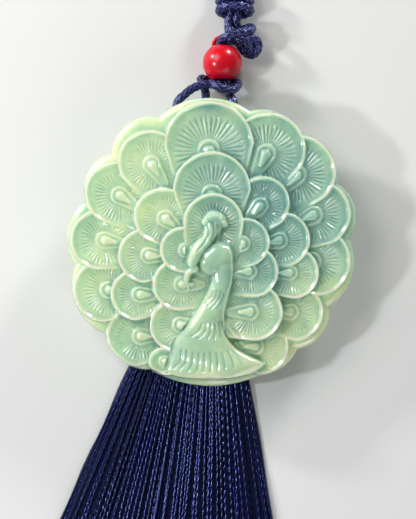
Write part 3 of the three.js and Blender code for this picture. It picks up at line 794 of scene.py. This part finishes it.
TASSEL_STRAND = [
    (-0.1, 3.2, 4.2), (0.25, 2.8, 5.6), (0.9, 2.4, 6.2), (2.1, 1.9, 6.0), (3.4, 1.7, 5.2),
    (4.5, 2.5, 3.9), (4.7, 3.6, 2.3), (3.2, 3.6, 1.0), (1.0, 3.4, 0.9), (-1.1, 4.3, 1.5),
    (-2.0, 4.2, 2.9), (-1.6, 3.1, 3.1), (-1.2, 1.9, 2.9), (-1.1, 0.6, 2.7),
    (-0.9, -3.0, 2.5), (-0.3, -9.0, 2.5), (0.15, -15.6, 2.6),
]
TOP_KNOT_PLACE = (4.25, 17.1, 2.5)
TOP_KNOT_SIZE = (3.55, 2.25)
TOP_KNOT_SLANT = 0.42
TOP_KNOT_TURNS = 3
TOP_KNOT_PITCH = 1.75
TOP_KNOT_STEPS = 60
TOP_KNOT_CORD_RADIUS = CORD_DIAMETER * 0.56
LOOP_ROUTE = [
    (3.6, 22.8, 2.5), (3.5, 25.0, 2.1), (3.0, 28.0, 1.2), (2.3, 32.0, 0.8), (1.7, 37.0, 0.8),
    (1.8, 43.0, 0.8), (2.6, 49.0, 0.8), (4.0, 55.0, 0.8), (5.9, 61.0, 0.8), (8.3, 66.5, 0.8),
    (11.3, 70.3, 0.8), (15.0, 71.6, 0.8), (18.3, 69.8, 0.8), (19.6, 65.8, 0.8), (19.2, 60.0, 0.8),
    (17.4, 53.5, 0.8), (14.8, 47.0, 0.8), (12.0, 40.5, 0.8), (9.4, 34.5, 0.8), (7.1, 29.2, 1.1),
    (5.6, 25.3, 2.0), (5.0, 22.8, 2.5),
]


def from_top_edge(route):
    """Moves a route from the plaque's top edge to the plaque's centre."""
    return [(x, y + PLAQUE_RADIUS, z) for x, y, z in route]


def channel_line():
    """The cord's way through the plaque's back."""
    y = PLAQUE_RADIUS - CHANNEL_FROM_TOP
    half = CHANNEL_SPAN / 2
    turn = np.linspace(0, math.pi, CHANNEL_STEPS)
    arch = [(-half * math.cos(a), y, CHANNEL_RISE * math.sin(a)) for a in turn]
    line = [(-half, y, -CHANNEL_RUN_OUT), *arch, (half, y, -CHANNEL_RUN_OUT)]
    return tip_back(np.array(line)).tolist()


def knotted_cord(material):
    shape = Shape()
    left, right = from_top_edge(LOWER_LEFT[:0:-1]), from_top_edge(LOWER_RIGHT[1:])
    add_cord(shape, [*left, *channel_line(), *right])
    for route in (INNER_TURN, RING_STRAND, TASSEL_STRAND):
        add_cord(shape, from_top_edge(route))
    (x, y, z), = from_top_edge([TOP_KNOT_PLACE])
    wide, deep = (size - CORD_DIAMETER / 2 for size in TOP_KNOT_SIZE)
    slant = math.pi / 2 - TOP_KNOT_SLANT
    angle = np.linspace(0, 2 * math.pi, TOP_KNOT_STEPS, endpoint=False)
    for turn in range(TOP_KNOT_TURNS):
        loop = np.column_stack([
            x + wide * np.cos(angle),
            y + turn * TOP_KNOT_PITCH + deep * np.sin(angle) * math.cos(slant),
            z + deep * np.sin(angle) * math.sin(slant),
        ])
        add_cord(shape, [*loop.tolist(), *loop[:2].tolist()], TOP_KNOT_CORD_RADIUS)
    return shape.build("knotted_cord_braided", material)


def hanging_loop(material):
    """The loop and its middle line in metres."""
    shape = Shape()
    line = add_cord(shape, from_top_edge(LOOP_ROUTE))
    made = shape.build("hanging_loop_braided", material)
    return made, (line + SHIFT) * MM


# Tassel

FAN_POINT = (0.5, PLAQUE_RADIUS * 0.46)
FAN_LEAN = math.radians(-7.4)
FAN_HALF_ANGLE = math.radians(17.1)
HEAD_START = 2.2
NECK_AT = HEAD_START + 0.93 * TASSEL_HEAD_LENGTH + BINDING_WIDTH / 2
SKIRT_START = (NECK_AT + BINDING_WIDTH / 2 + TOUCH_GAP) / math.cos(FAN_HALF_ANGLE)
SKIRT_END = HEAD_START + TASSEL_LENGTH
PLAQUE_EDGE_AT = FAN_POINT[1] + PLAQUE_RADIUS
NECK_CENTRE = BINDING_THICKNESS + TOUCH_GAP + NECK_HEIGHT / 2 + 0.1
# Where the skirt's sides start to turn in and over how long, as shares of its length, and how far,
# as a share of its width
TURN_IN_FROM = 0.7
TURN_IN_OVER = 0.3
TURN_IN = 0.13
# How much of the room under the leaning plaque the skirt takes up
ROOM_TAKEN = 0.9


def tassel_point(distance, across, height):
    """A place in the fan: distance from its point, share of its half width, height."""
    spread_end = np.maximum(0, (distance - TURN_IN_FROM * SKIRT_END) / (TURN_IN_OVER * SKIRT_END))
    angle = FAN_LEAN + across * FAN_HALF_ANGLE * (1 - TURN_IN * spread_end ** 2)
    return np.stack([
        FAN_POINT[0] + distance * np.sin(angle),
        FAN_POINT[1] - distance * np.cos(angle),
        height + 0 * distance,
    ], -1)


def skirt_thickness(distance):
    """The room under the leaning plaque, then a taper to the tips."""
    under = SKIRT_AT_PLAQUE + (PLAQUE_EDGE_AT - distance) * math.tan(TILT) * ROOM_TAKEN
    share = (distance - PLAQUE_EDGE_AT) / (SKIRT_END - PLAQUE_EDGE_AT)
    beyond = SKIRT_AT_PLAQUE + (SKIRT_AT_TIPS - SKIRT_AT_PLAQUE) * share
    return np.where(distance < PLAQUE_EDGE_AT, under, beyond)


# Layers of threads: how many, thickness, sides, steps, height within the skirt
THREAD_LAYERS = [
    (45, 0.52, 6, 240, 1.0),
    (44, 0.56, 4, 70, 0.72),
    (24, 0.7, 4, 40, 0.3),
]
THREAD_TWIST = 1.5
THREAD_PLY = 0.32
# A thread's least height in radii, without its ply
THREAD_OFF_TABLE = 1.02
# The plaque hides the threads up to here, so they have few steps and no twist there
HIDDEN_TO = 33.0
HIDDEN_STEPS = 16
HIDDEN_START = 1.5
# How much the threads differ: their places in threads, lengths, heights and tones
THREAD_JITTER = 0.4
THREAD_UNEVEN = 2.2
THREAD_SINK = 0.3
THREAD_TONES = (-0.8, 0.4)
# How far and how fast they wander: sideways in a sweep and in ripples, up and down in waves
SWEEP = 0.05
SWEEP_TURNS = (0.6, 1.6)
RIPPLE = 0.008
RIPPLE_TURNS = (6, 14)
WAVE = 0.06
WAVE_TURNS = (8, 16)
LARGEST_PHASE = 6
THREAD_END_SHARE = 0.99
THREAD_END_TAPER = 0.75
# The skirt's inside: its share of the height, how far it runs into the binding and how far it stops
# short of the tips
CORE_HEIGHT = 0.62
CORE_HIDDEN = 1
CORE_SHORT = 3.5
CORE_HALF_WIDTH = 0.96
CORE_UNDERSIDE = 0.03
CORE_ROWS = 30
CORE_COLUMNS = 49
# The skirt's height at its sides as a share, and how its top is rounded
CROWN_SIDES = 0.35
CROWN_POWER = 2.5


def crown(across):
    """How high the skirt is across its width."""
    return CROWN_SIDES + (1 - CROWN_SIDES) * (1 - np.abs(across) ** CROWN_POWER)


def add_core(shape):
    """The dense inside of the skirt: a solid sheet standing in for the packed inner threads, in the
    darkest yarn colour, which paints shade in the gaps between the outer threads.
    """
    distance = np.linspace(SKIRT_START - CORE_HIDDEN, SKIRT_END - CORE_SHORT, CORE_ROWS)[:, None]
    across = np.linspace(-CORE_HALF_WIDTH, CORE_HALF_WIDTH, CORE_COLUMNS)[None, :]
    height = skirt_thickness(distance) * crown(across) * CORE_HEIGHT
    top = tassel_point(distance, across, height)
    under = tassel_point(distance, across[:, ::-1], np.full_like(height, CORE_UNDERSIDE))
    rings = np.concatenate([top, under], 1)
    around = 2 * CORE_COLUMNS
    faces = [f[::-1] for f in grid_faces(CORE_ROWS, around, closed_columns=True)]
    # The lowest bump value gives the darkest yarn colour, painted shade between the threads
    shape.add(rings.reshape(-1, 3), faces + end_faces(CORE_ROWS, around), bump=-1.0)


def add_threads(shape, random):
    """Layers of two-ply threads that fan out from the binding and wander a little."""
    for count, thickness, sides, steps, level in THREAD_LAYERS:
        for i in range(count):
            across = 2 * (i + 0.5) / count - 1 + random.uniform(-THREAD_JITTER, THREAD_JITTER) / count
            end = SKIRT_END - random.uniform(0.0, THREAD_UNEVEN)
            hidden = np.linspace(SKIRT_START - HIDDEN_START, HIDDEN_TO, HIDDEN_STEPS, endpoint=False)
            distance = np.concatenate([hidden, np.linspace(HIDDEN_TO, end, steps)])
            share = (distance - SKIRT_START) / (SKIRT_END - SKIRT_START)
            sweep = SWEEP * random.uniform(-1, 1) * np.sin(math.pi * share * random.uniform(*SWEEP_TURNS))
            ripple = np.sin(share * random.uniform(*RIPPLE_TURNS) + random.uniform(0, LARGEST_PHASE))
            wander = sweep + RIPPLE * ripple
            side = np.clip(across + wander * np.clip(share, 0, 1), -1, 1)
            radius = thickness / 2
            height = radius + (skirt_thickness(distance) * crown(across) - 2 * radius) * level
            height = height + WAVE * np.sin(share * random.uniform(*WAVE_TURNS) + i)
            height = height - random.uniform(0, THREAD_SINK)
            height = np.maximum(height, radius * (THREAD_OFF_TABLE + THREAD_PLY))
            line = tassel_point(distance, side, height)
            angle = np.linspace(0, 2 * math.pi, sides, endpoint=False)[None, :]
            twist = 2 * math.pi * distance[:, None] / THREAD_TWIST + random.uniform(0, LARGEST_PHASE)
            ply = np.cos(2 * angle - twist) * (distance[:, None] > HIDDEN_TO)
            taper = np.where(share > THREAD_END_SHARE, THREAD_END_TAPER, 1.0)[:, None]
            tone = random.uniform(*THREAD_TONES)
            # The ply and tone set the colour too: painted shade in the twist's grooves and painted light
            # on the plies, plus each thread's own random tone
            add_tube(shape, line, radius * (1 + THREAD_PLY * ply) * taper, bump=ply + tone)


# The tassel's head is flat underneath, and its ribs are the threads that run down it
HEAD_FLAT = 0.35
HEAD_ENDS = (-0.985, 0.97)
HEAD_UNDERSIDE = 0.02
HEAD_ROWS = 40
HEAD_SIDES = 120
HEAD_RIBS = 36
HEAD_RIB_HEIGHT = 0.03
THREAD_SEED = 7


def add_head(shape):
    """The round head above the binding."""
    rise = (TASSEL_HEAD_HEIGHT + HEAD_FLAT) / 2
    t = np.linspace(*HEAD_ENDS, HEAD_ROWS)
    full = np.sqrt(1 - t * t)[:, None]
    angle = np.linspace(0, 2 * math.pi, HEAD_SIDES, endpoint=False)
    rib = 1 - HEAD_RIB_HEIGHT + HEAD_RIB_HEIGHT * np.abs(np.cos(HEAD_RIBS / 2 * angle))
    middle = tassel_point(HEAD_START + TASSEL_HEAD_LENGTH * (t + 1) / 2, 0, 0)
    side = TASSEL_HEAD_WIDTH / 2 * full * np.cos(angle) * rib
    rings = np.stack([
        middle[:, :1] + side * math.cos(FAN_LEAN),
        middle[:, 1:2] + side * math.sin(FAN_LEAN),
        np.maximum(rise - HEAD_FLAT + rise * full * np.sin(angle) * rib, HEAD_UNDERSIDE),
    ], -1)
    faces = grid_faces(HEAD_ROWS, HEAD_SIDES, closed_columns=True) + end_faces(HEAD_ROWS, HEAD_SIDES)
    # Painted shade between the head's ribs and painted light on them
    tone = np.tile(np.cos(HEAD_RIBS * angle), HEAD_ROWS)
    shape.add(rings.reshape(-1, 3), [f[::-1] for f in faces], bump=tone)


def tassel(material):
    shape = Shape()
    add_head(shape)
    add_core(shape)
    add_threads(shape, np.random.default_rng(THREAD_SEED))
    return shape.build("tassel_threads", material)


BINDING_TURNS = 5
BINDING_STEPS = 48
BINDING_SIDES = 8
BINDING_TONE = 0.3


def tassel_binding(material):
    shape = Shape()
    angle = np.linspace(0, 2 * math.pi, BINDING_STEPS, endpoint=False)
    wide = NECK_WIDTH / 2 + TOUCH_GAP + BINDING_THICKNESS / 2
    deep = NECK_HEIGHT / 2 + TOUCH_GAP + BINDING_THICKNESS / 2
    radii = np.full((BINDING_STEPS + 2, BINDING_SIDES), BINDING_THICKNESS / 2)
    for turn in range(BINDING_TURNS):
        at = NECK_AT + BINDING_WIDTH * ((turn + 0.5) / BINDING_TURNS - 0.5)
        middle = tassel_point(np.array(at), 0, NECK_CENTRE)
        loop = np.column_stack([
            middle[0] + wide * np.cos(angle) * math.cos(FAN_LEAN),
            middle[1] + wide * np.cos(angle) * math.sin(FAN_LEAN),
            middle[2] + deep * np.sin(angle),
        ])
        add_tube(shape, np.vstack([loop, loop[:2]]), radii, bump=BINDING_TONE)
    return shape.build("tassel_binding_thread", material)


# Materials

def new_material(name):
    material = bpy.data.materials.new(name)
    material.use_nodes = True
    return material, material.node_tree.nodes, material.node_tree.links


def set_inputs(node, values):
    for name, value in values.items():
        node.inputs[name].default_value = value


def ramp(nodes, links, value, stops):
    node = nodes.new("ShaderNodeValToRGB")
    while len(node.color_ramp.elements) < len(stops):
        node.color_ramp.elements.new(0.5)
    for element, (place, color) in zip(node.color_ramp.elements, stops):
        element.position = place
        element.color = (*color, 1)
    links.new(value, node.inputs["Fac"])
    return node.outputs["Color"]


def attribute(nodes, name):
    node = nodes.new("ShaderNodeAttribute")
    node.attribute_name = name
    return node.outputs["Fac"]


def math_node(nodes, links, operation, a, b):
    node = nodes.new("ShaderNodeMath")
    node.operation = operation
    for socket, value in zip(node.inputs, (a, b)):
        if isinstance(value, (int, float)):
            socket.default_value = value
        else:
            links.new(value, socket)
    return node.outputs[0]


JADE_STOPS = [
    (0.0, (0.22, 0.44, 0.40)),
    (0.3, (0.37, 0.61, 0.49)),
    (0.55, (0.58, 0.79, 0.54)),
    (0.8, (0.83, 0.93, 0.56)),
    (1.0, (0.95, 0.98, 0.66)),
]
# The bluest place in the stone, right of and above the plaque's centre
COOL_PLACE = (11.0, 7.0)
COOL_REACH = 15.0
COOL_LIMIT = 1.6
# Scale, detail and distortion of the stone's clouds and veins
CLOUDS = (90, 5, 0.6)
VEINS = (420, 3, 1.5)
NOISE_ROUGHNESS = 0.6
# The tone that the stone starts from, and how much each part lightens it: clouds, veins and distance from
# the bluest place give the stone's own colour, the border glow and the edge tone are painted light and
# shade
TONE_START = -0.44
CLOUD_WEIGHT = 0.9
VEIN_WEIGHT = 0.25
COOL_WEIGHT = 0.30
BORDER_GLOW_WEIGHT = 0.16
EDGE_WEIGHT = 0.3


def noise(nodes, links, vector, scale, detail, distortion):
    node = nodes.new("ShaderNodeTexNoise")
    set_inputs(node, {
        "Scale": scale,
        "Detail": detail,
        "Roughness": NOISE_ROUGHNESS,
        "Distortion": distortion,
    })
    links.new(vector, node.inputs["Vector"])
    return node.outputs["Fac"]


def weighted_sum(nodes, links, start, parts):
    """Start plus each value times its weight."""
    total = start
    for value, weight in parts:
        weighted = math_node(nodes, links, "MULTIPLY", value, weight)
        total = math_node(nodes, links, "ADD", weighted, total)
    return total


def jade():
    material, nodes, links = new_material("jade")
    shader = nodes["Principled BSDF"]
    vector = nodes.new("ShaderNodeTexCoord").outputs["Object"]
    clouds = noise(nodes, links, vector, *CLOUDS)
    veins = noise(nodes, links, vector, *VEINS)
    away = nodes.new("ShaderNodeVectorMath")
    away.operation = "DISTANCE"
    links.new(vector, away.inputs[0])
    cool = np.array([*COOL_PLACE, BACK_HEIGHT + BAND_HEIGHT]) + SHIFT
    away.inputs[1].default_value = (cool * MM).tolist()
    share = math_node(nodes, links, "DIVIDE", away.outputs["Value"], COOL_REACH * MM)
    from_cool = math_node(nodes, links, "MINIMUM", share, COOL_LIMIT)
    tone = weighted_sum(nodes, links, TONE_START, [
        (clouds, CLOUD_WEIGHT),
        (veins, VEIN_WEIGHT),
        (from_cool, COOL_WEIGHT),
        # Painted glow of the thin borders, then painted light on raised edges and painted shade in
        # hollows
        (attribute(nodes, "warm"), BORDER_GLOW_WEIGHT),
        (attribute(nodes, "edge"), EDGE_WEIGHT),
    ])
    links.new(ramp(nodes, links, tone, JADE_STOPS), shader.inputs["Base Color"])
    set_inputs(shader, {
        "Roughness": 0.13,
        "IOR": 1.6,
        "Transmission Weight": 0.35,
        "Subsurface Weight": 1.0,
        "Subsurface Radius": (0.8, 1.0, 0.85),
        "Subsurface Scale": 0.003,
        "Coat Weight": 0.7,
        "Coat Roughness": 0.04,
    })
    return material


def red_glass():
    material, nodes, _ = new_material("red_glass")
    set_inputs(nodes["Principled BSDF"], {
        "Base Color": (0.5, 0.0, 0.01, 1),
        "Roughness": 0.3,
        "Specular IOR Level": 0.3,
        "Subsurface Weight": 0.25,
        "Subsurface Radius": (1.0, 0.1, 0.1),
        "Subsurface Scale": 0.001,
        "Coat Weight": 0.2,
        "Coat Roughness": 0.08,
    })
    return material


# Places on the ramp of a yarn's darkest and lightest colours, which paint shade in its hollows and light
# on its tops
YARN_DARK_AT = 0.15
YARN_LIGHT_AT = 0.95


def navy(name, dark, light, roughness, tint):
    """Dark yarn whose colour follows the bumps, as painted shade in the hollows and painted light on the
    tops along with any tone of its own, and whose glints are blue.
    """
    material, nodes, links = new_material(name)
    shader = nodes["Principled BSDF"]
    spread = weighted_sum(nodes, links, 0.5, [(attribute(nodes, "bump"), 0.5)])
    color = ramp(nodes, links, spread, [(YARN_DARK_AT, dark), (YARN_LIGHT_AT, light)])
    links.new(color, shader.inputs["Base Color"])
    set_inputs(shader, {
        "Roughness": roughness,
        "Specular IOR Level": 1.0,
        "Specular Tint": (*tint, 1),
    })
    return material


# Camera, lights and floor

PHOTO_HEIGHT = 519
PLAQUE_PIXELS = 290
CAMERA_DISTANCE = 350.0
# The photo's middle on the plaque's face, in the plaque's own frame
AIM = (-0.717, -3.317, 5.0)


def make_camera():
    """Looks straight down on the leaning plaque's face."""
    data = bpy.data.cameras.new("camera")
    made = bpy.data.objects.new("camera", data)
    bpy.context.scene.collection.objects.link(made)
    tall = PHOTO_HEIGHT * 2 * PLAQUE_RADIUS / PLAQUE_PIXELS
    data.lens = data.sensor_width * CAMERA_DISTANCE / tall
    data.clip_start = 0.01
    data.clip_end = 10
    turn = Matrix.Rotation(TILT, 4, "X")
    place = Vector(tip_back(np.array([AIM]))[0] + SHIFT) + turn @ Vector((0, 0, CAMERA_DISTANCE))
    made.matrix_world = Matrix.Translation(place * MM) @ turn
    bpy.context.scene.camera = made


# Name, place and size in metres, power and colour of each light, which faces the origin
LIGHTS = [
    ("key", (-0.30, 0.28, 0.42), (0.30, 0.30), 1.6, (1.0, 0.98, 0.94)),
    ("left_glint", (-0.36, 0.26, 0.16), (0.04, 0.04), 1.3, (1.0, 1.0, 1.0)),
    ("right_glint", (0.24, 0.44, 0.14), (0.08, 0.05), 1.7, (1.0, 1.0, 1.0)),
    ("fill", (0.20, -0.55, 0.30), (0.5, 0.4), 1.7, (0.97, 0.98, 1.0)),
    ("thread_glint", (-0.30, -0.03, 0.26), (0.03, 0.03), 0.75, (0.9, 0.93, 1.0)),
]
FLOOR_HALF = 3.0
FLOOR_COLOR = (0.62, 0.62, 0.60, 1)
FLOOR_ROUGHNESS = 0.8
SKY_COLOR = (0.86, 0.9, 0.95, 1)
SKY_STRENGTH = 0.2


def area_light(name, place, size, power, color):
    data = bpy.data.lights.new(name, "AREA")
    data.shape = "RECTANGLE"
    data.size, data.size_y = size
    data.energy = power
    data.color = color
    made = bpy.data.objects.new(name, data)
    made.location = place
    made.rotation_euler = (-Vector(place)).to_track_quat("-Z", "Y").to_euler()
    bpy.context.scene.collection.objects.link(made)
    return made


def make_stage():
    half = FLOOR_HALF
    corners = [(-half, -half, 0), (half, -half, 0), (half, half, 0), (-half, half, 0)]
    mesh = bpy.data.meshes.new("floor")
    mesh.from_pydata(corners, [], [(0, 1, 2, 3)])
    floor = bpy.data.objects.new("floor", mesh)
    bpy.context.scene.collection.objects.link(floor)
    material, nodes, _ = new_material("floor")
    set_inputs(nodes["Principled BSDF"], {"Base Color": FLOOR_COLOR, "Roughness": FLOOR_ROUGHNESS})
    mesh.materials.append(material)
    lights = [area_light(*values) for values in LIGHTS]
    world = bpy.data.worlds.new("world")
    bpy.context.scene.world = world
    world.use_nodes = True
    background = world.node_tree.nodes["Background"]
    set_inputs(background, {"Color": SKY_COLOR, "Strength": SKY_STRENGTH})


def put_on(made, node):
    """Fixes a piece to the charm's one body, in place of a node of the CAD part."""
    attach(made, "root")
    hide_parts(node)


make_camera()
make_stage()
bpy.context.scene.view_settings.view_transform = "Standard"

cord_material = navy(
    "navy_cord",
    dark=(0.0004, 0.0004, 0.003),
    light=(0.032, 0.037, 0.16),
    roughness=0.25,
    tint=(0.5, 0.56, 1.0),
)
thread_material = navy(
    "navy_thread",
    dark=(0.0001, 0.0002, 0.0015),
    light=(0.003, 0.006, 0.06),
    roughness=0.22,
    tint=(0.32, 0.4, 1.0),
)
jade_material = jade()
red_material = red_glass()

loop, loop_line = hanging_loop(cord_material)
put_on(loop, "hanging_loop")
put_on(knotted_cord(cord_material), "knotted_cord")
put_on(jade_plaque(jade_material), "jade_plaque")
put_on(red_bead(red_material), "red_bead")
put_on(red_ring(red_material), "red_ring")
put_on(tassel(thread_material), "tassel")
put_on(tassel_binding(thread_material), "tassel_binding")
